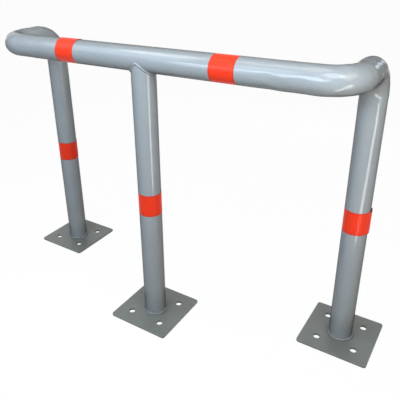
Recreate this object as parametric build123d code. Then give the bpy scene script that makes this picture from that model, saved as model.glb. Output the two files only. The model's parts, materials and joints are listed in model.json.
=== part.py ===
from build123d import *
import os
from math import atan2, cos, pi, sin, sqrt

# Driving dimensions in millimetres. The origin is on the floor under the middle of the
# outline, +X runs along the rail and +Y from the rail towards the end legs.
TUBE_D = 50.0              # outside diameter of the hoop and of the centre leg
TUBE_WALL = 2.5
RAIL_HEIGHT = 600.0        # floor to the rail's axis
LEG_SPACING = 800.0        # between the axes of the end legs
LEG_SETBACK = 150.0        # rail axis back to the axes of the end legs
BEND_RADIUS = 55.0         # axis radius of all four bends

PLATE_SIDE = 150.0
PLATE_THICK = 5.0
PLATE_CORNER = 6.0         # corner radius seen from above
PLATE_EDGE = 0.8           # eased top edge
HOLE_PITCH = 80.0
HOLE_D = 14.0

# How far each foot weld reaches out and up
FOOT_WELD_LEG = {"left": 4.5, "centre": 4.0, "right": 5.5}
SADDLE_WELD_R = 3.2        # radius of the bead at the saddle
SADDLE_WELD_SIDES = 12     # flats round the bead's section
SADDLE_WELD_SINK = 2.1     # depth of the bead's axis below the surface at front and back
SADDLE_TIP_R = 8.0         # radius that rounds off the bead at the saddle's points
SADDLE_SIDE_R = 17.0       # radius of the bead's axis where it turns under the rail's sides
SADDLE_TRIM = 5.0          # blunting of the leg's two points

TAPE_WIDTH = 50.0
TAPE_THICK = 0.5
TAPE_LAP = 26.0            # length of tape that lies over its own start
TAPE_CREEP = 1.5           # how far the lapped end sits off line

# Places of the tape, put on by hand: along the rail, and up each leg
RAIL_BAND_X = {"left": -189.0, "right": 184.0}
LEG_BAND_Z = {"left": 284.0, "centre": 292.0, "right": 294.0}
# Middle of each lap, in degrees about the rail (from the back, upwards) or the leg (from +X, towards +Y)
RAIL_LAP_ANGLE = {"left": 100.0, "right": -60.0}
LEG_LAP_ANGLE = {"left": 62.0, "centre": 58.0, "right": 44.0}

# Worked out from the driving dimensions
TUBE_R = TUBE_D / 2
BORE_R = TUBE_R - TUBE_WALL
RAIL_Y = -LEG_SETBACK / 2
LEG_Y = LEG_SETBACK / 2
LEG_X = LEG_SPACING / 2
CUTTER_LENGTH = 4 * TUBE_D  # longer than the joint under the rail
LEG_PLACE = {"left": (-LEG_X, LEG_Y), "centre": (0.0, RAIL_Y), "right": (LEG_X, LEG_Y)}


def hoop_path():
    """Axis of the bent tube, from one foot over the rail to the other."""
    corners = [
        (-LEG_X, LEG_Y, PLATE_THICK),
        (-LEG_X, LEG_Y, RAIL_HEIGHT),
        (-LEG_X, RAIL_Y, RAIL_HEIGHT),
        (LEG_X, RAIL_Y, RAIL_HEIGHT),
        (LEG_X, LEG_Y, RAIL_HEIGHT),
        (LEG_X, LEG_Y, PLATE_THICK),
    ]
    return FilletPolyline(*corners, radius=BEND_RADIUS)


def hoop_tube():
    """Rail and both end legs, one tube with four bends in two planes."""
    path = hoop_path()
    start = Plane(origin=path @ 0, z_dir=path % 0)
    section = start * (Circle(TUBE_R) - Circle(BORE_R))
    return sweep(section, path=path)


def rail_bar():
    """Solid bar of the rail's outside size, used to cut what fits against the rail."""
    along_rail = Plane(origin=(0, RAIL_Y, RAIL_HEIGHT), z_dir=(1, 0, 0))
    return along_rail * Cylinder(TUBE_R, CUTTER_LENGTH)


def leg_bar(radius):
    """Solid bar up the centre leg, ending where the saddle's points are blunted."""
    length = RAIL_HEIGHT - SADDLE_TRIM - PLATE_THICK
    bar = Cylinder(radius, length, align=(Align.CENTER, Align.CENTER, Align.MIN))
    return Pos(0, RAIL_Y, PLATE_THICK) * bar


def centre_leg():
    """Straight tube with a fish-mouth top that fits under the rail."""
    return leg_bar(TUBE_R) - leg_bar(BORE_R) - rail_bar()


def on_slope(along, across):
    """Point on the plane of the fish mouth, which falls away from the rail's axis at 45 degrees."""
    return Vector(along / sqrt(2), RAIL_Y + across, RAIL_HEIGHT - along / sqrt(2))


def bead_path():
    """Half of the bead's axis, from the front of the saddle round its right side to the back.

    The fish mouth is half an ellipse there, drawn as three tangent arcs, with a small arc
    at each end that rounds off the joint's points.
    """
    depth = TUBE_R - SADDLE_WELD_SINK
    end = TUBE_R * sqrt(2)
    flat_gap = end - SADDLE_TIP_R - SADDLE_SIDE_R
    shoulder_r = (flat_gap ** 2 + depth ** 2 - SADDLE_SIDE_R ** 2) / (2 * (depth - SADDLE_SIDE_R))
    lean = atan2(flat_gap, shoulder_r - depth)
    shoulder = (SADDLE_TIP_R + shoulder_r * sin(lean), shoulder_r - depth - shoulder_r * cos(lean))

    tip_top = RAIL_HEIGHT - SADDLE_TIP_R * (sqrt(2) - 1)
    stops = [
        on_slope(SADDLE_TIP_R, -depth),
        on_slope(*shoulder),
        on_slope(shoulder[0], -shoulder[1]),
        on_slope(SADDLE_TIP_R, depth),
        Vector(0, RAIL_Y + depth, tip_top),
    ]
    here = Vector(0, RAIL_Y - depth, tip_top)
    heading = Vector(1, 0, 0)
    arcs = []
    for stop in stops:
        arcs.append(TangentArc(here, stop, tangent=heading))
        here = stop
        heading = arcs[-1] % 1
    return Wire(arcs)


def saddle_weld():
    """Bead round the fish mouth: over a flush joint at front and back, in a corner at the sides."""
    path = bead_path()
    section = Plane(origin=path @ 0, z_dir=path % 0) * RegularPolygon(SADDLE_WELD_R, SADDLE_WELD_SIDES)
    half = sweep(section, path=path)
    bead = half + mirror(half, about=Plane.YZ)
    return bead - rail_bar() - leg_bar(TUBE_R)


def base_plate(place):
    """Square plate with rounded corners, an eased top edge and four bolt holes."""
    plate = extrude(RectangleRounded(PLATE_SIDE, PLATE_SIDE, PLATE_CORNER), PLATE_THICK)
    plate = chamfer(plate.faces().sort_by(Axis.Z)[-1].edges(), PLATE_EDGE)
    for spot in GridLocations(HOLE_PITCH, HOLE_PITCH, 2, 2):
        plate -= spot * Cylinder(HOLE_D / 2, 3 * PLATE_THICK)
    return Pos(place[0], place[1], 0) * plate


def foot_weld(side):
    """Fillet weld between a leg and the top of its plate, with a flat sloping face."""
    reach = FOOT_WELD_LEG[side]
    root = (TUBE_R, 0)
    toe = (TUBE_R + reach, 0)
    crown = (TUBE_R, reach)
    ring = revolve(Plane.XZ * make_face(Polyline(root, toe, crown, close=True)), axis=Axis.Z)
    x, y = LEG_PLACE[side]
    return Pos(x, y, PLATE_THICK) * ring


def tape_band(lap_angle):
    """Tape once round a tube that stands on Z, with its end lapped over its start."""
    wrap = extrude(Circle(TUBE_R + TAPE_THICK) - Circle(TUBE_R), TAPE_WIDTH / 2, both=True)
    lap_sweep = TAPE_LAP / (TUBE_R + TAPE_THICK) * 180 / pi
    edge = Polyline(
        (TUBE_R + TAPE_THICK, -TAPE_WIDTH / 2 + TAPE_CREEP),
        (TUBE_R + 2 * TAPE_THICK, -TAPE_WIDTH / 2 + TAPE_CREEP),
        (TUBE_R + 2 * TAPE_THICK, TAPE_WIDTH / 2),
        (TUBE_R + TAPE_THICK, TAPE_WIDTH / 2),
        close=True,
    )
    lap = revolve(Plane.XZ * make_face(edge), axis=Axis.Z, revolution_arc=lap_sweep)
    return wrap + Rot(0, 0, lap_angle - lap_sweep / 2) * lap


def rail_band(side):
    """Tape round the rail: the band's own axis is turned to lie along X."""
    band = tape_band(RAIL_LAP_ANGLE[side])
    along_rail = Plane(origin=(RAIL_BAND_X[side], RAIL_Y, RAIL_HEIGHT), x_dir=(0, 1, 0), z_dir=(1, 0, 0))
    return along_rail * band


def leg_band(side):
    """Tape round a leg."""
    x, y = LEG_PLACE[side]
    return Pos(x, y, LEG_BAND_Z[side]) * tape_band(LEG_LAP_ANGLE[side])


def all_pieces():
    """Every piece of the barrier, by name."""
    pieces = {"hoop_tube": hoop_tube(), "centre_leg": centre_leg(), "saddle_weld": saddle_weld()}
    for side, place in LEG_PLACE.items():
        pieces["base_plate_" + side] = base_plate(place)
        pieces["foot_weld_" + side] = foot_weld(side)
        pieces["leg_band_" + side] = leg_band(side)
    for side in RAIL_BAND_X:
        pieces["rail_band_" + side] = rail_band(side)
    return pieces


os.makedirs("parts", exist_ok=True)
for name, piece in all_pieces().items():
    export_step(piece, "parts/" + name + ".step")
    print(name, round(piece.volume / 1000, 2), "cm3")

axis_length = hoop_path().length
tube_area = pi * (TUBE_R ** 2 - BORE_R ** 2)
print("hoop axis", round(axis_length, 1), "mm, section times length", round(axis_length * tube_area / 1000, 2), "cm3")
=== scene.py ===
import json
from math import pi, radians

import bpy
from mathutils import Matrix, Vector


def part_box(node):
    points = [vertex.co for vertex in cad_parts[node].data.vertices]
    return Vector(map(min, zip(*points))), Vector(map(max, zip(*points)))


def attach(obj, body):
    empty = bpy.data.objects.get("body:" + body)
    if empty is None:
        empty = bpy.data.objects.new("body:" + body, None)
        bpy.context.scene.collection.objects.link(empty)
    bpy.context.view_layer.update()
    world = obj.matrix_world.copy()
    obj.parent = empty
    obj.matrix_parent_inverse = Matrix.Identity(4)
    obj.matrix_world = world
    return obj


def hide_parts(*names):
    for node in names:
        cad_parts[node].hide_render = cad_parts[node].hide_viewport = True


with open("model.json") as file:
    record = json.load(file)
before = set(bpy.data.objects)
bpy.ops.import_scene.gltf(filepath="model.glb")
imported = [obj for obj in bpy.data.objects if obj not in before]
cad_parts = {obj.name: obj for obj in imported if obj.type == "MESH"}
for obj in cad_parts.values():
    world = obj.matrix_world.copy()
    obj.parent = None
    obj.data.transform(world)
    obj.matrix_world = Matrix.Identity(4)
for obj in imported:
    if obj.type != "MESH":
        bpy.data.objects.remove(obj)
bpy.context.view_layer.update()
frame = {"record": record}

MM = 0.001

# Sizes of the steel, in metres, read from the frame
SIDES = ("left", "centre", "right")
RAIL_SIDES = ("left", "right")
MOUNT_SPOT = {mount["name"]: Vector(mount["pos_m"]) for mount in frame["record"]["mounts"]}
LEG_SPOT = {side: MOUNT_SPOT["foot_" + side] for side in SIDES}
LEG_LOW, LEG_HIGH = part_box("centre_leg")
TUBE_R = (LEG_HIGH.x - LEG_LOW.x) / 2
PLATE_TOP = LEG_LOW.z
RAIL_Y = LEG_SPOT["centre"].y
RAIL_Z = round(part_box("hoop_tube")[1].z - TUBE_R, 3)
SADDLE_TRIM = RAIL_Z - LEG_HIGH.z
BOLT_PITCH = frame["record"]["mounts"][0]["dims"]["spacing_x_mm"] * MM
BOLT_HOLE_R = frame["record"]["mounts"][0]["dims"]["hole_r_mm"] * MM
PLATE_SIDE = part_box("base_plate_left")[1].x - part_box("base_plate_left")[0].x

# Sizes that the frame's boxes don't give, and how finely the shapes are divided
BEND_R = 55 * MM
BEND_STEPS = 64
TUBE_RING_SPACING = 2.5 * MM
TUBE_SIDES = 96
LEG_COLUMNS = 129
LEG_RINGS = 4              # middle of the foot, foot, saddle and middle of the lid
PLATE_CORNER_R = 6 * MM
PLATE_CORNER_STEPS = 10
PLATE_EDGE = 0.8 * MM
PLATE_EDGE_STEPS = 3
PLATE_FLATNESS = 90        # how much the large faces count in the shading of the eased edges
BOLT_ROWS = 2
BOLT_HOLE_SIDES = 48
SADDLE_CORNER = radians(40)    # edges that turn by more than this stay crisp
SHARP_CORNER = radians(50)

# Worked stretch near each bend, where the bender left the tube a little uneven
WORKED_FROM_X = 0.220
WORKED_TO_X = 0.270
WORKED_FROM_Z = 0.490
WORKED_TO_Z = 0.545
RIPPLE_DEPTH = 1.5 * MM
RIPPLE_SCALE = 70.0
RIPPLE_DRAW = (0.45, 1.0, 1.0)     # drawn out along the rail

# Weld beads. A foot bead's sizes are shares of how far its weld reaches over the plate
BEAD_RIPPLE = 0.22 * MM
FOOT_BEAD_SHARES = {"Half Width": 0.50, "Lift": 0.48, "Crown": 0.26, "Sink": 0.5}
FOOT_BEAD_RIPPLES = 54.0
SADDLE_BEAD_SIZES = {"Half Width": 2.8 * MM, "Lift": 1.2 * MM, "Crown": 1.5 * MM, "Sink": 1.2 * MM}
SADDLE_BEAD_RIPPLES = 62.0
SADDLE_TIP_DROP = 5.0 * MM
BEAD_COLUMNS = 505
BEAD_ROWS = 25
BEAD_WANDER_SCALE = 6.4
BEAD_CURL = 0.45           # how far a ripple lags at the bead's sides
RIPPLE_WANDER = 0.8
CROWN_WANDER = 0.5
WIDTH_WANDER = 0.18
FOOT_BEAD_SEED = 3.7
SADDLE_BEAD_SEED = 1.3

# Tape: one turn and a lap, put on by hand. Angles are in degrees about the tube, as in the solids
TAPE_THICK = 0.4 * MM
TAPE_WIDTH = 50 * MM
TAPE_LAP = 26 * MM
TAPE_CREEP = 1.5 * MM
TAPE_RAMP = 3 * MM
RAIL_LAP_ANGLE = {"left": 100.0, "right": -60.0}
LEG_LAP_ANGLE = {"left": 62.0, "centre": 58.0, "right": 44.0}
LEG_TILT = (0.0, 0.0, 0.0)         # a leg's band stays upright
RAIL_TILT = (pi / 2, 0.0, pi / 2)  # a rail's band is laid along the rail
TAPE_GAP = 0.05 * MM
TAPE_COLUMNS = 241
TAPE_ROWS = 25
TAPE_CREASE = 0.12 * MM
TAPE_CREASE_SCALE = 90.0
TAPE_EDGE_WANDER = 0.5 * MM
TAPE_EDGE_SCALE = 25.0
TAPE_SEED = 2.1
# Air pocket under a band: its angle about the tube and its height
POCKET = {"leg_right": (12.0, 2.1 * MM), "leg_left": (46.0, 0.4 * MM), "rail_left": (95.0, 0.5 * MM)}
POCKET_EDGE = 0.86         # cosine of the angle from its middle at which it ends

# Colours of the finishes
TUBE_LIGHT = (0.456, 0.484, 0.508, 1.0)
TUBE_DARK = (0.368, 0.390, 0.410, 1.0)
TUBE_SCUFFED = (0.66, 0.66, 0.65, 1.0)
WELD_LIGHT = (0.456, 0.486, 0.504, 1.0)
WELD_DARK = (0.348, 0.372, 0.39, 1.0)
PLATE_LIGHT = (0.176, 0.182, 0.166, 1.0)
PLATE_DARK = (0.136, 0.141, 0.129, 1.0)
# Lighter colour of worn paint, used also for a painted sheen along the plate edges
PLATE_WEAR_AND_SHEEN = (0.24, 0.24, 0.225, 1.0)
TAPE_BRIGHT = (0.82, 0.042, 0.013, 1.0)
TAPE_DEEP = (0.72, 0.031, 0.009, 1.0)
# Darker colour along the tape's edges
TAPE_EDGE_DARK = (0.34, 0.025, 0.02, 1.0)
TAPE_PAINTED_GLOW = 0.1           # painted glow: the tape gives off red light of its own, though it is no lamp
TAPE_SCUFFED = (0.95, 0.20, 0.12, 1.0)
DUST = (0.36, 0.35, 0.31, 1.0)
# Dark colour of the painted shade on the welds and plates
PAINTED_SHADE = (0.10, 0.10, 0.09, 1.0)

# Patterns of the finishes: how fine they are, how far they reach and where they fade in
TUBE_COAT_SCALES = {"Cloud Scale": 13.0, "Flake Scale": 900.0, "Peel Scale": 240.0}
WELD_COAT_SCALES = {"Cloud Scale": 60.0, "Flake Scale": 900.0, "Peel Scale": 420.0}
PLATE_COAT_SCALES = {"Cloud Scale": 22.0, "Flake Scale": 900.0, "Peel Scale": 300.0}
CLOUD_TONE = 0.9
FLAKE_TONE = 0.35
GLOSS_FINENESS = 4.0
DUST_PATCH_SCALE = 28.0
DUST_PATCH_FADE = (-0.25, 0.3)
TUBE_DUST_REACH = 0.16
WELD_DUST_REACH = 0.05
SCUFF_TURNS = (0.4, 1.7)
SCUFF_AXIS = (0.3, 0.5, 0.8)
SCUFF_DRAW = (1.0, 16.0, 16.0)     # long and thin
SCUFF_FADE = (0.19, 0.25)
SCUFF_PATCH_SCALE = 11.0
SCUFF_PATCH_FADE = (0.06, 0.2)
TUBE_SCUFF_SCALE = 60.0
PLATE_SCUFF_SCALE = 80.0
TAPE_SCUFF_SCALE = 90.0
# Where the painted shade on the welds and plates, and the worn, partly painted sheen along the plate
# edges, fade in
BEAD_VALLEY_SHADE_FADE = (0.1, -0.8)
FLOOR_SHADE_FADE = (0.1, 0.05)
EDGE_WEAR_AND_SHEEN_REACH = 2.2 * MM
RUB_BREAK_SCALE = 120.0
RUB_BREAK_FADE = (-0.25, 0.25)
LEG_SHADE_FADE = (17 * MM, 4 * MM)
HOLE_SHADE_REACH = 0.8 * MM
TAPE_BEAD_SCALE = 1500.0
TAPE_BEAD_TONE = 0.5
TAPE_BEAD_HEIGHT = 0.3
TAPE_MOTTLE_SCALE = 40.0
TAPE_MOTTLE_TONE = 0.8
TAPE_SKIN_SCALE = 130.0
# Darker band along the tape's edges: how far it reaches and how it breaks up
TAPE_EDGE_DARK_REACH = 4.0 * MM
TAPE_EDGE_DARK_SCALE = 160.0
TAPE_EDGE_DARK_FADE = (-0.4, 0.1)

# Shares of dust, scuffs, painted shade, darker tape edges and worn edges with painted sheen in each
# finish
TUBE_DUST_SHARE = 0.30
TUBE_SCUFF_SHARE = 0.35
WELD_VALLEY_SHADE_SHARE = 0.35
WELD_DUST_SHARE = 0.35
WELD_FLOOR_SHADE_SHARE = 0.5
PLATE_LEG_SHADE_SHARE = 0.35
PLATE_HOLE_SHADE_SHARE = 0.8
PLATE_SCUFF_SHARE = 0.5
PLATE_WEAR_AND_SHEEN_SHARE = 0.6
TAPE_EDGE_DARK_SHARE = 0.7
TAPE_SCUFF_SHARE = 0.3

# Roughness of each finish, and what its patterns add to that
TUBE_ROUGH = {"plain": 0.12, "gloss": 0.05, "dust": 0.2, "scuffs": 0.2}
WELD_ROUGH = {"plain": 0.15, "gloss": 0.05, "dust": 0.2}
PLATE_ROUGH = {"plain": 0.45, "gloss": 0.12, "grime": 0.3, "rubbed": -0.08}
TAPE_ROUGH = {"plain": 0.40, "mottle": 0.10, "dirt": 0.15, "scuffs": 0.15}

# Depth of each finish's skin
TUBE_PEEL = 0.03 * MM
WELD_PEEL = 0.03 * MM
PLATE_PEEL = 0.06 * MM
TAPE_SKIN = 0.06 * MM

# Grey-tinted coat over the silver, the same all over: painted shade that deepens where a surface is seen
# at a slant, darkening the sides of the tubes and beads
SLANT_SHADE_COAT = {
    "coat_weight": 1.0,
    "coat_roughness": 0.12,
    "coat_ior": 1.012,
    "coat_tint": (0.76, 0.76, 0.76, 1.0),
}
TUBE_SHINE = {"specular_ior_level": 0.62, **SLANT_SHADE_COAT}
WELD_SHINE = {"specular_ior_level": 1.0, **SLANT_SHADE_COAT}
PLATE_SHINE = {"coat_weight": 0.15, "coat_roughness": 0.2}
TAPE_SHINE = {"coat_weight": 0.12, "coat_roughness": 0.12, "specular_ior_level": 0.1}

# Floor: pale where it is seen, darker in the light that it throws back
FLOOR_PALE = (0.9, 0.9, 0.9, 1.0)
FLOOR_BOUNCE = (0.26, 0.21, 0.15, 1.0)
FLOOR_GLOW = 0.97          # share of the floor's look that is plain white
FLOOR_REACH = 12.0
FLOOR_GAP = 0.2 * MM

# Surroundings: white where they are seen, and a weak even light
WORLD_WHITE = (1.0, 1.0, 1.0, 1.0)
WORLD_LIGHT = 0.08
# Soft lamps: place, aim, width and height, glow and colour
COOL = (0.70, 0.86, 1.0)
DAY = (0.82, 0.93, 1.0)
PLAIN = (1.0, 1.0, 0.95)
WARM = (1.0, 0.93, 0.80)
MIDDLE = (0.0, -0.03, 0.35)
LAMPS = {
    "front_band": ((0.0, -1.0, 0.95), MIDDLE, (1.4, 0.2), 7.5, COOL),
    "front_spot": ((0.0, -1.15, 0.8), MIDDLE, (0.25, 0.25), 7.2, COOL),
    "front_left": ((-0.25, -0.8, 0.7), (-0.1, 0.0, 0.45), (0.3, 0.3), 3.1, COOL),
    "rail_spot": ((0.0, -0.5, 1.0), MIDDLE, (0.25, 0.25), 2.8, COOL),
    "near_right": ((0.6, -0.45, 1.05), (0.2, 0.0, 0.4), (0.6, 0.5), 4.8, DAY),
    "near_left": ((-0.6, -0.5, 1.1), (-0.2, 0.0, 0.4), (0.6, 0.6), 2.5, COOL),
    "top_left": ((-0.348, -0.251, 1.173), MIDDLE, (0.3, 0.3), 4.5, PLAIN),
    "top_middle": ((0.0, -0.2, 1.8), (0.0, 0.0, 0.3), (1.0, 0.6), 2.2, WARM),
    "top_right": ((1.0, -0.3, 1.1), (0.3, 0.0, 0.45), (0.5, 0.5), 2.8, WARM),
    "low_right": ((1.2, -0.3, 0.3), MIDDLE, (0.3, 0.3), 2.0, WARM),
    "floor_strip": ((1.375, -0.528, 0.10), (1.279, -0.50, 1.10), (0.34, 1.65), 5.5, PLAIN),
    "left_back": ((-1.2, 0.3, 0.8), (-0.1, 0.0, 0.4), (0.5, 0.6), 1.4, PLAIN),
    "back_spot": ((0.62, 0.95, 0.8), (0.4, 0.0, 0.6), (0.16, 0.16), 3.8, COOL),
    "back_fill": ((0.0, 1.6, 0.4), (0.0, 0.0, 0.35), (1.6, 0.5), 1.2, PLAIN),
}

# Camera, fitted to the outline in the photograph. Its angles are in degrees
FRAME_PIXELS = 400
FOCAL_PIXELS = 493.4
OPTICAL_CENTRE = (181.5, 170.9)
CAMERA_SPOT = Vector((0.58857, -0.82808, 0.79074))
CAMERA_AZIMUTH = 33.834
CAMERA_ELEVATION = 24.175
CAMERA_ROLL = 1.268

FULL_TURN = 2 * pi
WELD_GAP = 0.01 * MM       # points closer than this are one point

# Places of a colour mix's sockets on its node
MIX_SHARE = 0
MIX_FIRST = 6
MIX_SECOND = 7
MIX_COLOUR = 2


class Field:
    """Output of a node. Arithmetic on it adds the nodes that work it out."""

    def __init__(self, socket):
        self.socket = socket
        self.tree = socket.id_data

    def math(self, operation, *others):
        return math_node(self.tree, operation, self, *others)

    def __add__(self, other):
        return self.math("ADD", other)

    def __sub__(self, other):
        return self.math("SUBTRACT", other)

    def __rsub__(self, other):
        return math_node(self.tree, "SUBTRACT", other, self)

    def __mul__(self, other):
        return self.math("MULTIPLY", other)

    def __truediv__(self, other):
        return self.math("DIVIDE", other)

    def __pow__(self, other):
        return self.math("POWER", other)

    __radd__ = __add__
    __rmul__ = __mul__

    def sin(self):
        return self.math("SINE")

    def cos(self):
        return self.math("COSINE")

    def abs(self):
        return self.math("ABSOLUTE")

    def root(self):
        return self.math("SQRT")

    def at_least(self, other):
        return self.math("MAXIMUM", other)

    def at_most(self, other):
        return self.math("MINIMUM", other)

    def ramp(self, start, end):
        """Smooth step from 0 at start to 1 at end."""
        steps = {"Value": self, "From Min": start, "From Max": end}
        node = add(self.tree, "ShaderNodeMapRange", steps, interpolation_type="SMOOTHSTEP")
        return Field(node.outputs["Result"])


def wire(socket, value):
    """Feeds an input from a field or a node's first output, or sets it to a plain value."""
    if isinstance(value, bpy.types.Node):
        value = Field(value.outputs[0])
    if isinstance(value, Field):
        value.tree.links.new(value.socket, socket)
    else:
        socket.default_value = value


def add(tree, kind, inputs=None, **settings):
    """New node with its settings and inputs."""
    node = tree.nodes.new(kind)
    for name, value in settings.items():
        setattr(node, name, value)
    for key, value in (inputs or {}).items():
        wire(node.inputs[key], value)
    return node


def math_node(tree, operation, *terms):
    """Result of one step of arithmetic on fields or plain numbers."""
    node = add(tree, "ShaderNodeMath", dict(enumerate(terms)), operation=operation)
    return Field(node.outputs["Value"])


def vector_node(tree, operation, *terms):
    """Result of one step of arithmetic on places or directions."""
    node = add(tree, "ShaderNodeVectorMath", dict(enumerate(terms)), operation=operation)
    return Field(node.outputs["Vector"])


def vector(tree, x, y, z):
    """Place or direction from its three parts."""
    return Field(add(tree, "ShaderNodeCombineXYZ", {"X": x, "Y": y, "Z": z}).outputs["Vector"])


def scaled(direction, length):
    """Direction times a length."""
    inputs = {0: direction, "Scale": length}
    node = add(direction.tree, "ShaderNodeVectorMath", inputs, operation="SCALE")
    return Field(node.outputs["Vector"])


def components(point):
    """The three parts of a place or direction."""
    node = add(point.tree, "ShaderNodeSeparateXYZ", {"Vector": point})
    return [Field(node.outputs[axis]) for axis in "XYZ"]


def new_tree(name, kind, inputs, outputs):
    """Empty node group. Inputs map a name to a socket type and outputs do the same."""
    tree = bpy.data.node_groups.new(name, kind)
    for label, socket in inputs.items():
        tree.interface.new_socket(label, in_out="INPUT", socket_type="NodeSocket" + socket)
    for label, socket in outputs.items():
        tree.interface.new_socket(label, in_out="OUTPUT", socket_type="NodeSocket" + socket)
    sockets = tree.nodes.new("NodeGroupInput").outputs
    given = {socket.name: Field(socket) for socket in sockets if socket.name}
    return tree, given, tree.nodes.new("NodeGroupOutput")


def shape_tree(name, inputs):
    """Geometry tree with the given sizes, and the material of its result."""
    sockets = {"Geometry": "Geometry", **inputs, "Finish": "Material"}
    return new_tree(name, "GeometryNodeTree", sockets, {"Geometry": "Geometry"})


def close_tree(tree, sink, shape, finish):
    """Ends a geometry tree: real geometry, smooth, with its material."""
    real = add(tree, "GeometryNodeRealizeInstances", {"Geometry": shape})
    smooth = add(tree, "GeometryNodeSetShadeSmooth", {"Geometry": real})
    painted = add(tree, "GeometryNodeSetMaterial", {"Geometry": smooth, "Material": finish})
    wire(sink.inputs["Geometry"], painted)


def surface_grid(tree, columns, rows):
    """Grid to be bent into a surface, with how far along and how far across it each point is."""
    grid = add(tree, "GeometryNodeMeshGrid", {"Vertices X": columns, "Vertices Y": rows})
    along, across, _ = components(Field(grid.outputs["UV Map"]))
    return grid, along, across


def bent(tree, grid, point):
    """The grid with every point moved to its place, and its meeting edges joined."""
    moved = add(tree, "GeometryNodeSetPosition", {"Geometry": grid, "Position": point})
    return add(tree, "GeometryNodeMergeByDistance", {"Geometry": moved, "Distance": WELD_GAP})


def mark(tree, shape, name, value):
    """Stores a value with every point of a shape, for its finish to read."""
    inputs = {"Geometry": shape, "Name": name, "Value": value}
    return add(tree, "GeometryNodeStoreNamedAttribute", inputs, data_type="FLOAT_VECTOR", domain="POINT")


def use_group(tree, group, inputs):
    """Places a node group in a tree and gives its outputs by name."""
    node = add(tree, group.bl_idname.replace("Tree", "Group"), inputs, node_tree=group)
    return {socket.name: Field(socket) for socket in node.outputs}


def noise(tree, place, scale, detail=1.0):
    """Smooth noise about zero, between roughly -0.5 and 0.5."""
    node = add(tree, "ShaderNodeTexNoise", {"Vector": place, "Scale": scale, "Detail": detail})
    return Field(node.outputs["Fac"]) - 0.5


def hoop_tree():
    """Round tube swept along a line whose corners are bent, a little uneven where it was bent."""
    sizes = {
        "Bend Radius": "Float",
        "Tube Radius": "Float",
        "Ring Spacing": "Float",
        "Sides": "Int",
        "Ripple Depth": "Float",
        "Ripple Scale": "Float",
    }
    tree, given, sink = shape_tree("bent tube", sizes)
    corners = {"Curve": given["Geometry"], "Radius": given["Bend Radius"], "Count": BEND_STEPS}
    line = add(tree, "GeometryNodeFilletCurve", corners, mode="POLY")
    spaced = {"Curve": line, "Length": given["Ring Spacing"]}
    rings = add(tree, "GeometryNodeResampleCurve", spaced, mode="LENGTH")
    circle = {"Resolution": given["Sides"], "Radius": given["Tube Radius"]}
    section = add(tree, "GeometryNodeCurvePrimitiveCircle", circle)
    sweep = {"Curve": rings, "Profile Curve": section, "Fill Caps": True}
    swept = add(tree, "GeometryNodeCurveToMesh", sweep)

    place = Field(add(tree, "GeometryNodeInputPosition").outputs["Position"])
    normal = Field(add(tree, "GeometryNodeInputNormal").outputs["Normal"])
    x, _, z = components(place)
    worked = x.abs().ramp(WORKED_FROM_X, WORKED_TO_X) * z.ramp(WORKED_FROM_Z, WORKED_TO_Z)
    drawn = vector_node(tree, "MULTIPLY", place, RIPPLE_DRAW)
    depth = noise(tree, drawn, given["Ripple Scale"]) * given["Ripple Depth"] * worked
    uneven = add(tree, "GeometryNodeSetPosition", {"Geometry": swept, "Offset": scaled(normal, depth)})
    close_tree(tree, sink, uneven, given["Finish"])
    return tree


def saddle_leg_tree():
    """Straight tube whose top follows the underside of the rail, closed at both ends."""
    sizes = {"Tube Radius": "Float", "Foot": "Vector", "Rail Height": "Float", "Trim": "Float"}
    tree, given, sink = shape_tree("saddle leg", sizes)
    grid, along, across = surface_grid(tree, LEG_COLUMNS, LEG_RINGS)
    angle = along * FULL_TURN
    last = LEG_RINGS - 1.0
    row = across * last
    foot_x, foot_y, foot_z = components(given["Foot"])
    radius = given["Tube Radius"] * row.at_most(1.0) * (last - row).at_most(1.0)
    saddle = given["Rail Height"] - (given["Tube Radius"] * angle.cos().abs()).at_least(given["Trim"])
    lid = given["Rail Height"] - given["Tube Radius"] / 2.0
    wall_share = (row - 1.0).at_least(0.0).at_most(1.0)
    lid_share = (row - (last - 1.0)).at_least(0.0)
    height = foot_z + (saddle - foot_z) * wall_share + (lid - saddle) * lid_share
    point = vector(tree, foot_x + radius * angle.cos(), foot_y + radius * angle.sin(), height)
    close_tree(tree, sink, bent(tree, grid, point), given["Finish"])
    return tree


def bead_section():
    """Group: how far a weld bead's skin stands out from its line and beside it, with its ripples."""
    inputs = {
        "Along": "Float",
        "Across": "Float",
        "Half Width": "Float",
        "Lift": "Float",
        "Crown": "Float",
        "Sink": "Float",
        "Ripples": "Float",
        "Ripple Depth": "Float",
        "Seed": "Float",
    }
    outputs = {"Out": "Float", "Beside": "Float", "Ripple": "Float"}
    tree, given, sink = new_tree("bead section", "GeometryNodeTree", inputs, outputs)
    round_angle = given["Across"] * FULL_TURN
    up = round_angle.sin()
    side = round_angle.cos()
    turn = given["Along"] * FULL_TURN
    wander = noise(tree, vector(tree, turn.cos(), turn.sin(), given["Seed"]), BEAD_WANDER_SCALE)
    swirl = given["Along"] * given["Ripples"] + side * side * BEAD_CURL + wander * RIPPLE_WANDER
    face = up.at_least(0.0) ** 2.0
    ripple = (swirl * FULL_TURN).cos() * face
    uneven = given["Crown"] * (1.0 + wander * CROWN_WANDER)
    skin = uneven * face + given["Sink"] * up.at_most(0.0)
    wire(sink.inputs["Out"], given["Lift"] + skin + ripple * given["Ripple Depth"])
    wire(sink.inputs["Ripple"], ripple)
    wire(sink.inputs["Beside"], given["Half Width"] * side * (1.0 + wander * WIDTH_WANDER))
    return tree


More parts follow.
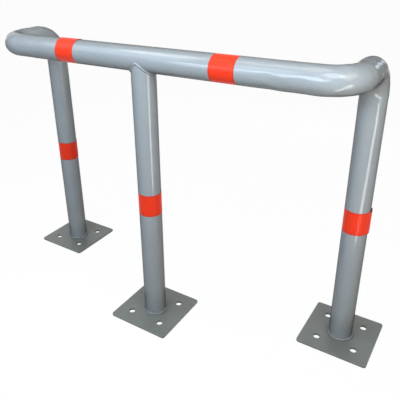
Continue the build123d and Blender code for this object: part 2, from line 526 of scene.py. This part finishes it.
def bead_skin(tree, group, given, grid, line, outward, heading, lift):
    """The grid bent to a bead's skin, from its line, the way out of its corner and its heading."""
    beside_way = vector_node(tree, "NORMALIZE", vector_node(tree, "CROSS_PRODUCT", heading, outward))
    shared = ("Along", "Across", "Half Width", "Crown", "Sink", "Ripples", "Ripple Depth", "Seed")
    section = use_group(tree, group, {**{name: given[name] for name in shared}, "Lift": lift})
    rise = scaled(outward, section["Out"])
    offset = vector_node(tree, "ADD", rise, scaled(beside_way, section["Beside"]))
    bead_place = vector(tree, given["Along"], given["Across"], section["Ripple"])
    marked = mark(tree, grid, "bead_place", bead_place)
    return bent(tree, marked, vector_node(tree, "ADD", line, offset))


BEAD_SIZES = {
    "Tube Radius": "Float",
    "Foot": "Vector",
    "Half Width": "Float",
    "Lift": "Float",
    "Crown": "Float",
    "Sink": "Float",
    "Ripples": "Float",
    "Ripple Depth": "Float",
    "Seed": "Float",
}


def foot_bead_tree(group):
    """Bead in the corner between a leg and the top of its plate."""
    tree, given, sink = shape_tree("foot bead", BEAD_SIZES)
    grid, given["Along"], given["Across"] = surface_grid(tree, BEAD_COLUMNS, BEAD_ROWS)
    angle = given["Along"] * FULL_TURN
    east, north = angle.cos(), angle.sin()
    ring = vector(tree, given["Tube Radius"] * east, given["Tube Radius"] * north, 0.0)
    line = vector_node(tree, "ADD", given["Foot"], ring)
    outward = vector_node(tree, "NORMALIZE", vector(tree, east, north, 1.0))
    heading = vector(tree, 0.0 - north, east, 0.0)
    bead = bead_skin(tree, group, given, grid, line, outward, heading, given["Lift"])
    close_tree(tree, sink, bead, given["Finish"])
    return tree


def saddle_bead_tree(group):
    """Bead round the fish-mouth joint, over its flush points and in its corners at the sides."""
    sizes = {**BEAD_SIZES, "Rail Height": "Float", "Tip Drop": "Float"}
    tree, given, sink = shape_tree("saddle bead", sizes)
    grid, given["Along"], given["Across"] = surface_grid(tree, BEAD_COLUMNS, BEAD_ROWS)
    angle = given["Along"] * FULL_TURN
    east, north = angle.cos(), angle.sin()
    radius = given["Tube Radius"]
    foot_x, foot_y, _ = components(given["Foot"])
    fall = ((radius * east) ** 2.0 + given["Tip Drop"] ** 2.0).root()
    line = vector(tree, foot_x + radius * east, foot_y + radius * north, given["Rail Height"] - fall)
    leg_way = vector(tree, east, north, 0.0)
    rail_way = vector(tree, 0.0, north, 0.0 - fall / radius)
    outward = vector_node(tree, "NORMALIZE", vector_node(tree, "ADD", leg_way, rail_way))
    heading = vector(tree, 0.0 - radius * north, radius * east, radius * radius * east * north / fall)
    bead = bead_skin(tree, group, given, grid, line, outward, heading, given["Lift"] * east * east)
    close_tree(tree, sink, bead, given["Finish"])
    return tree


def tape_tree():
    """Tape wound once round a tube that stands on Z, climbing over its own start, then put in place."""
    sizes = {
        "Tube Radius": "Float",
        "Width": "Float",
        "Thickness": "Float",
        "Gap": "Float",
        "Lap": "Float",
        "Ramp": "Float",
        "Creep": "Float",
        "Start Angle": "Float",
        "Pocket Angle": "Float",
        "Pocket": "Float",
        "Spot": "Vector",
        "Tilt": "Rotation",
        "Seed": "Float",
    }
    tree, given, sink = shape_tree("tape band", sizes)
    grid, along, across = surface_grid(tree, TAPE_COLUMNS, TAPE_ROWS)
    girth = given["Tube Radius"] * FULL_TURN
    run = along * (girth + given["Lap"])
    angle = given["Start Angle"] - run / given["Tube Radius"]
    climb = run.ramp(girth - given["Ramp"], girth) * given["Thickness"]
    pocket = (angle - given["Pocket Angle"]).cos().ramp(POCKET_EDGE, 1.0) * given["Pocket"]
    place = vector(tree, run, across * given["Width"], given["Seed"])
    crease = noise(tree, place, TAPE_CREASE_SCALE).at_least(0.0) * TAPE_CREASE
    radius = given["Tube Radius"] + given["Gap"] + climb + pocket + crease
    edge_place = vector(tree, run, 0.0, given["Seed"])
    edge = noise(tree, edge_place, TAPE_EDGE_SCALE) * TAPE_EDGE_WANDER
    height = (across - 0.5) * given["Width"] + (along - 0.5) * given["Creep"] + edge
    marked = mark(tree, grid, "tape_place", place)
    point = vector(tree, radius * angle.cos(), radius * angle.sin(), height)
    moved = add(tree, "GeometryNodeSetPosition", {"Geometry": marked, "Position": point})
    where = {"Geometry": moved, "Translation": given["Spot"], "Rotation": given["Tilt"]}
    placed = add(tree, "GeometryNodeTransform", where)
    close_tree(tree, sink, placed, given["Finish"])
    return tree


def plate_tree():
    """Square plate with rounded corners and a square of bolt holes."""
    sizes = {
        "Side": "Float",
        "Corner Radius": "Float",
        "Thickness": "Float",
        "Hole Pitch": "Float",
        "Hole Radius": "Float",
        "Spot": "Vector",
    }
    tree, given, sink = shape_tree("base plate", sizes)
    sides = {"Width": given["Side"], "Height": given["Side"]}
    square = add(tree, "GeometryNodeCurvePrimitiveQuadrilateral", sides)
    corner = {"Curve": square, "Radius": given["Corner Radius"], "Count": PLATE_CORNER_STEPS}
    outline = add(tree, "GeometryNodeFilletCurve", corner, mode="POLY")
    pitch = {
        "Size X": given["Hole Pitch"],
        "Size Y": given["Hole Pitch"],
        "Vertices X": BOLT_ROWS,
        "Vertices Y": BOLT_ROWS,
    }
    spots = add(tree, "GeometryNodeMeshGrid", pitch)
    circle = {"Resolution": BOLT_HOLE_SIDES, "Radius": given["Hole Radius"]}
    hole = add(tree, "GeometryNodeCurvePrimitiveCircle", circle)
    holes = add(tree, "GeometryNodeInstanceOnPoints", {"Points": spots, "Instance": hole})
    lines = add(tree, "GeometryNodeJoinGeometry")
    for part in (outline, add(tree, "GeometryNodeRealizeInstances", {"Geometry": holes})):
        wire(lines.inputs["Geometry"], part)
    face = add(tree, "GeometryNodeFillCurve", {"Curve": lines}, mode="NGONS")
    up = vector(tree, 0.0, 0.0, 1.0)
    rise = {"Mesh": face, "Offset": up, "Offset Scale": given["Thickness"], "Individual": False}
    raised = add(tree, "GeometryNodeExtrudeMesh", rise)
    underside = add(tree, "GeometryNodeFlipFaces", {"Mesh": face})
    solid = add(tree, "GeometryNodeJoinGeometry")
    for part in (raised, underside):
        wire(solid.inputs["Geometry"], part)
    whole = add(tree, "GeometryNodeMergeByDistance", {"Geometry": solid, "Distance": WELD_GAP})
    here = Field(add(tree, "GeometryNodeInputPosition").outputs["Position"])
    marked = mark(tree, whole, "plate_place", here)
    placed = add(tree, "GeometryNodeTransform", {"Geometry": marked, "Translation": given["Spot"]})
    close_tree(tree, sink, placed, given["Finish"])
    return tree


def run_tree(name, tree, values, start=None, finishers=()):
    """Runs a shape tree with its sizes and its finishing modifiers, and returns a plain mesh object."""
    maker = bpy.data.objects.new(name + "_maker", start or bpy.data.meshes.new(name + "_start"))
    bpy.context.scene.collection.objects.link(maker)
    shaper = maker.modifiers.new("shape", "NODES")
    shaper.node_group = tree
    for socket in tree.interface.items_tree:
        if socket.in_out == "INPUT" and socket.name in values:
            shaper[socket.identifier] = values[socket.name]
    for kind, settings in finishers:
        finisher = maker.modifiers.new(kind, kind)
        for setting, value in settings.items():
            setattr(finisher, setting, value)
    depsgraph = bpy.context.evaluated_depsgraph_get()
    mesh = bpy.data.meshes.new_from_object(maker.evaluated_get(depsgraph), depsgraph=depsgraph)
    bpy.data.objects.remove(maker)
    mesh.materials.clear()
    mesh.materials.append(values["Finish"])
    mesh.polygons.foreach_set("material_index", [0] * len(mesh.polygons))
    piece = bpy.data.objects.new(name, mesh)
    bpy.context.scene.collection.objects.link(piece)
    return piece


def stand_for(piece, node):
    """The piece rides on the object and shows in place of a solid of the frame."""
    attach(piece, "root")
    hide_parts(node)


def hoop_line():
    """Line of the bent tube with square corners, from the left foot over the rail to the right foot."""
    left, right = LEG_SPOT["left"], LEG_SPOT["right"]
    corners = [
        (left.x, left.y, PLATE_TOP),
        (left.x, left.y, RAIL_Z),
        (left.x, RAIL_Y, RAIL_Z),
        (right.x, RAIL_Y, RAIL_Z),
        (right.x, right.y, RAIL_Z),
        (right.x, right.y, PLATE_TOP),
    ]
    line = bpy.data.curves.new("hoop_line", "CURVE")
    line.dimensions = "3D"
    spline = line.splines.new("POLY")
    spline.points.add(len(corners) - 1)
    for point, corner in zip(spline.points, corners):
        point.co = (*corner, 1.0)
    return line


def build_hoop(finish):
    """The rail and both end legs: one bent tube."""
    sizes = {
        "Bend Radius": BEND_R,
        "Tube Radius": TUBE_R,
        "Ring Spacing": TUBE_RING_SPACING,
        "Sides": TUBE_SIDES,
        "Ripple Depth": RIPPLE_DEPTH,
        "Ripple Scale": RIPPLE_SCALE,
        "Finish": finish,
    }
    piece = run_tree("painted_hoop", hoop_tree(), sizes, start=hoop_line())
    stand_for(piece, "hoop_tube")


def build_centre_leg(finish):
    """The straight leg under the middle of the rail."""
    spot = LEG_SPOT["centre"]
    sizes = {
        "Tube Radius": TUBE_R,
        "Foot": (spot.x, spot.y, PLATE_TOP),
        "Rail Height": RAIL_Z,
        "Trim": SADDLE_TRIM,
        "Finish": finish,
    }
    piece = run_tree("painted_centre_leg", saddle_leg_tree(), sizes)
    piece.data.set_sharp_from_angle(angle=SADDLE_CORNER)
    stand_for(piece, "centre_leg")


def build_beads(finish):
    """The weld beads round the three feet and round the saddle."""
    group = bead_section()
    shared = {"Tube Radius": TUBE_R, "Ripple Depth": BEAD_RIPPLE, "Finish": finish}
    foot_tree = foot_bead_tree(group)
    for number, side in enumerate(SIDES):
        spot = LEG_SPOT[side]
        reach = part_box("foot_weld_" + side)[1].x - spot.x - TUBE_R
        sizes = {
            **shared,
            **{size: share * reach for size, share in FOOT_BEAD_SHARES.items()},
            "Foot": (spot.x, spot.y, PLATE_TOP),
            "Ripples": FOOT_BEAD_RIPPLES,
            "Seed": FOOT_BEAD_SEED * (number + 1),
        }
        piece = run_tree("foot_bead_" + side, foot_tree, sizes)
        stand_for(piece, "foot_weld_" + side)
    spot = LEG_SPOT["centre"]
    sizes = {
        **shared,
        **SADDLE_BEAD_SIZES,
        "Foot": (spot.x, spot.y, PLATE_TOP),
        "Ripples": SADDLE_BEAD_RIPPLES,
        "Seed": SADDLE_BEAD_SEED,
        "Rail Height": RAIL_Z,
        "Tip Drop": SADDLE_TIP_DROP,
    }
    piece = run_tree("saddle_bead", saddle_bead_tree(group), sizes)
    stand_for(piece, "saddle_weld")


def build_tape(finish):
    """The five bands of tape, three on the legs and two on the rail."""
    tree = tape_tree()
    skin = ("SOLIDIFY", {"thickness": TAPE_THICK, "offset": 1.0, "use_even_offset": True})
    lap_sweep = TAPE_LAP / TUBE_R
    bands = [("leg", side, LEG_LAP_ANGLE[side], LEG_TILT) for side in SIDES]
    bands += [("rail", side, RAIL_LAP_ANGLE[side], RAIL_TILT) for side in RAIL_SIDES]
    for number, (place, side, lap_angle, tilt) in enumerate(bands):
        node = place + "_band_" + side
        low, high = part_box(node)
        middle = (low + high) / 2
        spot = {
            "leg": (LEG_SPOT[side].x, LEG_SPOT[side].y, middle.z),
            "rail": (middle.x, RAIL_Y, RAIL_Z),
        }[place]
        pocket_angle, pocket_height = POCKET.get(place + "_" + side, (0.0, 0.0))
        sizes = {
            "Tube Radius": TUBE_R,
            "Width": TAPE_WIDTH,
            "Thickness": TAPE_THICK,
            "Gap": TAPE_GAP,
            "Lap": TAPE_LAP,
            "Ramp": TAPE_RAMP,
            "Creep": TAPE_CREEP,
            "Start Angle": radians(lap_angle) + lap_sweep / 2,
            "Pocket Angle": radians(pocket_angle),
            "Pocket": pocket_height,
            "Spot": spot,
            "Tilt": tilt,
            "Seed": TAPE_SEED * number,
            "Finish": finish,
        }
        piece = run_tree("tape_" + place + "_" + side, tree, sizes, finishers=[skin])
        piece.data.set_sharp_from_angle(angle=SHARP_CORNER)
        stand_for(piece, node)


def build_plates(finish):
    """The three base plates."""
    tree = plate_tree()
    edge = {
        "width": PLATE_EDGE,
        "segments": PLATE_EDGE_STEPS,
        "limit_method": "ANGLE",
        "angle_limit": SHARP_CORNER,
    }
    flat = {"keep_sharp": True, "weight": PLATE_FLATNESS}
    finishers = [("BEVEL", edge), ("WEIGHTED_NORMAL", flat)]
    for side in SIDES:
        sizes = {
            "Side": PLATE_SIDE,
            "Corner Radius": PLATE_CORNER_R,
            "Thickness": PLATE_TOP,
            "Hole Pitch": BOLT_PITCH,
            "Hole Radius": BOLT_HOLE_R,
            "Spot": tuple(LEG_SPOT[side]),
            "Finish": finish,
        }
        piece = run_tree("plate_" + side, tree, sizes, finishers=finishers)
        stand_for(piece, "base_plate_" + side)


def speckle(tree, place, scale):
    """Random value for each of many small cells, from 0 to 1."""
    cells = add(tree, "ShaderNodeTexVoronoi", {"Vector": place, "Scale": scale})
    split = add(tree, "ShaderNodeSeparateColor", {"Color": Field(cells.outputs["Color"])})
    return Field(split.outputs["Red"])


def between(tree, share, first, second):
    """Colour that goes from the first to the second with the share."""
    inputs = {MIX_SHARE: share, MIX_FIRST: first, MIX_SECOND: second}
    return Field(add(tree, "ShaderNodeMix", inputs, data_type="RGBA").outputs[MIX_COLOUR])


def coat_group():
    """Group: a sprayed coat's cloudy tone with its flakes, its uneven gloss and its orange peel."""
    inputs = {"Place": "Vector", "Cloud Scale": "Float", "Flake Scale": "Float", "Peel Scale": "Float"}
    outputs = {"Tone": "Float", "Gloss": "Float", "Height": "Float"}
    tree, given, sink = new_tree("sprayed coat", "ShaderNodeTree", inputs, outputs)
    cloud = noise(tree, given["Place"], given["Cloud Scale"], detail=3.0)
    flakes = speckle(tree, given["Place"], given["Flake Scale"]) - 0.5
    peel = noise(tree, given["Place"], given["Peel Scale"])
    shine = noise(tree, given["Place"], given["Cloud Scale"] * GLOSS_FINENESS, detail=2.0)
    wire(sink.inputs["Tone"], 0.5 + cloud * CLOUD_TONE + flakes * FLAKE_TONE)
    wire(sink.inputs["Gloss"], cloud + shine)
    wire(sink.inputs["Height"], peel)
    return tree


def dust_group():
    """Group: dust that gathers towards the floor, in patches."""
    inputs = {"Place": "Vector", "Reach": "Float"}
    tree, given, sink = new_tree("floor dust", "ShaderNodeTree", inputs, {"Mask": "Float"})
    height = components(given["Place"])[2]
    patches = noise(tree, given["Place"], DUST_PATCH_SCALE, detail=4.0).ramp(*DUST_PATCH_FADE)
    wire(sink.inputs["Mask"], height.ramp(given["Reach"], 0.0) * patches)
    return tree


def scuff_group():
    """Group: short fine scratches, in a few patches."""
    inputs = {"Place": "Vector", "Scale": "Float"}
    tree, given, sink = new_tree("scuffs", "ShaderNodeTree", inputs, {"Mask": "Float"})
    scratches = 0.0
    for turn in SCUFF_TURNS:
        about = {"Vector": given["Place"], "Axis": SCUFF_AXIS, "Angle": turn}
        turned = Field(add(tree, "ShaderNodeVectorRotate", about).outputs[0])
        drawn = vector_node(tree, "MULTIPLY", turned, SCUFF_DRAW)
        scratches = noise(tree, drawn, given["Scale"], detail=2.0).ramp(*SCUFF_FADE) + scratches
    patches = noise(tree, given["Place"], SCUFF_PATCH_SCALE, detail=2.0).ramp(*SCUFF_PATCH_FADE)
    wire(sink.inputs["Mask"], scratches.at_most(1.0) * patches)
    return tree


def new_finish(name):
    """Empty finish: its material, tree, shader and the place of each point on the object."""
    material = bpy.data.materials.new(name)
    material.use_nodes = True
    tree = material.node_tree
    place = Field(tree.nodes.new("ShaderNodeTexCoord").outputs["Object"])
    return material, tree, tree.nodes["Principled BSDF"], place


def marked_place(tree, name):
    """Value that a shape tree stored with the points of a piece."""
    return Field(add(tree, "ShaderNodeAttribute", attribute_name=name).outputs["Vector"])


def roughness_of(shares, **patterns):
    """Plain roughness of a finish with what its patterns add."""
    total = shares["plain"]
    for name, pattern in patterns.items():
        total = pattern * shares[name] + total
    return total


def set_surface(tree, shader, colour, roughness, height, depth, shine):
    """Feeds the shader its colour, roughness and skin, and sets the shine that is the same all over."""
    wire(shader.inputs["Base Color"], colour)
    wire(shader.inputs["Roughness"], roughness)
    wire(shader.inputs["Normal"], add(tree, "ShaderNodeBump", {"Height": height, "Distance": depth}))
    for name, value in shine.items():
        shader.inputs[name.replace("_", " ").title().replace("Ior", "IOR")].default_value = value


def tube_finish(groups):
    """Glossy silver-grey coat on the tubes."""
    material, tree, shader, place = new_finish("silver_tube_coat")
    coat = use_group(tree, groups["coat"], {"Place": place, **TUBE_COAT_SCALES})
    dust = use_group(tree, groups["dust"], {"Place": place, "Reach": TUBE_DUST_REACH})["Mask"]
    scuffs = use_group(tree, groups["scuffs"], {"Place": place, "Scale": TUBE_SCUFF_SCALE})["Mask"]
    paint = between(tree, coat["Tone"], TUBE_DARK, TUBE_LIGHT)
    dusty = between(tree, dust * TUBE_DUST_SHARE, paint, DUST)
    colour = between(tree, scuffs * TUBE_SCUFF_SHARE, dusty, TUBE_SCUFFED)
    roughness = roughness_of(TUBE_ROUGH, gloss=coat["Gloss"], dust=dust, scuffs=scuffs)
    set_surface(tree, shader, colour, roughness, coat["Height"], TUBE_PEEL, TUBE_SHINE)
    return material


def weld_finish(groups):
    """The same coat over the weld beads, with painted shade between their ripples and near the floor."""
    material, tree, shader, place = new_finish("silver_weld_coat")
    coat = use_group(tree, groups["coat"], {"Place": place, **WELD_COAT_SCALES})
    dust = use_group(tree, groups["dust"], {"Place": place, "Reach": WELD_DUST_REACH})["Mask"]
    ripple = components(marked_place(tree, "bead_place"))[2]
    floor_shade = components(place)[2].ramp(*FLOOR_SHADE_FADE)
    paint = between(tree, coat["Tone"], WELD_DARK, WELD_LIGHT)
    # Painted shade in the valleys between the bead's ripples
    shaded_paint = between(tree, ripple.ramp(*BEAD_VALLEY_SHADE_FADE) * WELD_VALLEY_SHADE_SHARE, paint, PAINTED_SHADE)
    dusty = between(tree, dust * WELD_DUST_SHARE, shaded_paint, DUST)
    # Painted shade: beads down by the floor are darkened by half
    colour = between(tree, floor_shade * WELD_FLOOR_SHADE_SHARE, dusty, PAINTED_SHADE)
    roughness = roughness_of(WELD_ROUGH, gloss=coat["Gloss"], dust=dust)
    set_surface(tree, shader, colour, roughness, coat["Height"], WELD_PEEL, WELD_SHINE)
    return material


def plate_finish(groups):
    """Satin coat on the plates, worn thin and lighter at the edges with a painted sheen there, with
    painted shade in the bolt holes and round the leg.
    """
    material, tree, shader, place = new_finish("silver_plate_coat")
    coat = use_group(tree, groups["coat"], {"Place": place, **PLATE_COAT_SCALES})
    scuffs = use_group(tree, groups["scuffs"], {"Place": place, "Scale": PLATE_SCUFF_SCALE})["Mask"]
    x, y, _ = components(marked_place(tree, "plate_place"))
    from_edge = PLATE_SIDE / 2 - x.abs().at_least(y.abs())
    hole_x = x.abs() - BOLT_PITCH / 2
    hole_y = y.abs() - BOLT_PITCH / 2
    from_hole = (hole_x * hole_x + hole_y * hole_y).root() - BOLT_HOLE_R
    from_leg = (x * x + y * y).root() - TUBE_R
    breaks = noise(tree, place, RUB_BREAK_SCALE, detail=3.0).ramp(*RUB_BREAK_FADE)
    # Paint worn thin along the plate's outer edge, lighter there; the lighter edge is also a painted
    # sheen
    rubbed = from_edge.ramp(EDGE_WEAR_AND_SHEEN_REACH, 0.0) * breaks
    # Painted shade: darker round the foot of the leg and on the bolt holes' walls
    leg_grime = from_leg.ramp(*LEG_SHADE_FADE) * breaks * PLATE_LEG_SHADE_SHARE
    hole_grime = from_hole.ramp(HOLE_SHADE_REACH, 0.0) * PLATE_HOLE_SHADE_SHARE
    grime = leg_grime.at_least(hole_grime)
    paint = between(tree, coat["Tone"], PLATE_DARK, PLATE_LIGHT)
    shaded_paint = between(tree, grime, paint, PAINTED_SHADE)
    scuffed = between(tree, scuffs * PLATE_SCUFF_SHARE, shaded_paint, PLATE_WEAR_AND_SHEEN)
    colour = between(tree, rubbed * PLATE_WEAR_AND_SHEEN_SHARE, scuffed, PLATE_WEAR_AND_SHEEN)
    roughness = roughness_of(PLATE_ROUGH, gloss=coat["Gloss"], grime=grime, rubbed=rubbed)
    set_surface(tree, shader, colour, roughness, coat["Height"], PLATE_PEEL, PLATE_SHINE)
    return material


def tape_finish(groups):
    """Red-orange reflective tape: fine beads under a clear skin, darker along its edges, with a painted
    glow.
    """
    material, tree, shader, place = new_finish("red_reflective_tape")
    scuffs = use_group(tree, groups["scuffs"], {"Place": place, "Scale": TAPE_SCUFF_SCALE})["Mask"]
    across = components(marked_place(tree, "tape_place"))[1]
    beads = speckle(tree, place, TAPE_BEAD_SCALE)
    mottle = noise(tree, place, TAPE_MOTTLE_SCALE, detail=3.0)
    from_edge = across.at_most(TAPE_WIDTH - across)
    # Darker along the tape's edges, in broken patches
    dirt_breaks = noise(tree, place, TAPE_EDGE_DARK_SCALE, detail=2.0).ramp(*TAPE_EDGE_DARK_FADE)
    dirt = from_edge.ramp(TAPE_EDGE_DARK_REACH, 0.0) * dirt_breaks
    tone = 0.5 + mottle * TAPE_MOTTLE_TONE + (beads - 0.5) * TAPE_BEAD_TONE
    film = between(tree, tone, TAPE_DEEP, TAPE_BRIGHT)
    dirty = between(tree, dirt * TAPE_EDGE_DARK_SHARE, film, TAPE_EDGE_DARK)
    colour = between(tree, scuffs * TAPE_SCUFF_SHARE, dirty, TAPE_SCUFFED)
    roughness = roughness_of(TAPE_ROUGH, mottle=mottle, dirt=dirt, scuffs=scuffs)
    height = beads * TAPE_BEAD_HEIGHT + noise(tree, place, TAPE_SKIN_SCALE)
    # Painted glow: the tape gives off its own colour as light, as if it were lit
    wire(shader.inputs["Emission Color"], colour)
    shader.inputs["Emission Strength"].default_value = TAPE_PAINTED_GLOW
    set_surface(tree, shader, colour, roughness, height, TAPE_SKIN, TAPE_SHINE)
    return material


def floor_finish():
    """Pale floor: white to the eye and in reflections, with a faint shadow of the object on it."""
    material = bpy.data.materials.new("floor")
    material.use_nodes = True
    tree = material.node_tree
    seen = seen_rays(tree)
    paint = between(tree, seen, FLOOR_BOUNCE, FLOOR_PALE)
    matt = add(tree, "ShaderNodeBsdfDiffuse", {"Color": paint})
    glow = add(tree, "ShaderNodeEmission", {"Strength": 1.0})
    mixed = add(tree, "ShaderNodeMixShader", {0: seen * FLOOR_GLOW, 1: matt, 2: glow})
    wire(tree.nodes["Material Output"].inputs["Surface"], mixed)
    return material


def build_floor():
    """Wide pale floor under the object."""
    mesh = bpy.data.meshes.new("floor")
    reach = FLOOR_REACH
    corners = [(-reach, -reach, 0), (reach, -reach, 0), (reach, reach, 0), (-reach, reach, 0)]
    mesh.from_pydata(corners, [], [(0, 1, 2, 3)])
    floor = bpy.data.objects.new("floor", mesh)
    floor.location.z = -FLOOR_GAP
    bpy.context.scene.collection.objects.link(floor)
    mesh.materials.append(floor_finish())


def place_camera():
    """Camera at the photograph's viewing angle, with its crop."""
    lens = bpy.data.cameras.new("camera")
    lens.lens = FOCAL_PIXELS / FRAME_PIXELS * lens.sensor_width
    lens.shift_x = 0.5 - OPTICAL_CENTRE[0] / FRAME_PIXELS
    lens.shift_y = OPTICAL_CENTRE[1] / FRAME_PIXELS - 0.5
    camera = bpy.data.objects.new("camera", lens)
    turn = Matrix.Rotation(radians(CAMERA_AZIMUTH), 4, "Z")
    dip = Matrix.Rotation(radians(90 - CAMERA_ELEVATION), 4, "X")
    roll = Matrix.Rotation(radians(-CAMERA_ROLL), 4, "Z")
    camera.matrix_world = Matrix.Translation(CAMERA_SPOT) @ turn @ dip @ roll
    bpy.context.scene.collection.objects.link(camera)
    bpy.context.scene.camera = camera


def softbox(name, spot, aim, size, glow, colour):
    """Oval lamp of an even glow, hidden from the camera."""
    lamp = bpy.data.lights.new(name, "AREA")
    lamp.shape = "ELLIPSE"
    lamp.size, lamp.size_y = size
    lamp.energy = pi * size[0] * size[1] * glow
    lamp.color = colour
    holder = bpy.data.objects.new(name, lamp)
    holder.location = spot
    holder.rotation_euler = (Vector(aim) - Vector(spot)).to_track_quat("-Z", "Y").to_euler()
    holder.visible_camera = False
    bpy.context.scene.collection.objects.link(holder)


def seen_rays(tree):
    """One for rays that show the surroundings, in the picture or in a reflection, and zero for light."""
    path = tree.nodes.new("ShaderNodeLightPath")
    seen = Field(path.outputs["Is Camera Ray"])
    for ray in ("Is Glossy Ray", "Is Transmission Ray"):
        seen = seen.at_least(Field(path.outputs[ray]))
    return seen


def light_world():
    """White surroundings that give only a weak, even light."""
    world = bpy.context.scene.world or bpy.data.worlds.new("world")
    bpy.context.scene.world = world
    world.use_nodes = True
    tree = world.node_tree
    background = tree.nodes["Background"]
    background.inputs["Color"].default_value = WORLD_WHITE
    wire(background.inputs["Strength"], WORLD_LIGHT + seen_rays(tree) * (1.0 - WORLD_LIGHT))


GROUPS = {"coat": coat_group(), "dust": dust_group(), "scuffs": scuff_group()}
TUBE_COAT = tube_finish(GROUPS)
build_hoop(TUBE_COAT)
build_centre_leg(TUBE_COAT)
build_beads(weld_finish(GROUPS))
build_tape(tape_finish(GROUPS))
build_plates(plate_finish(GROUPS))
build_floor()
place_camera()
for lamp_name, lamp_settings in LAMPS.items():
    softbox(lamp_name, *lamp_settings)
light_world()
bpy.context.scene.view_settings.view_transform = "Standard"
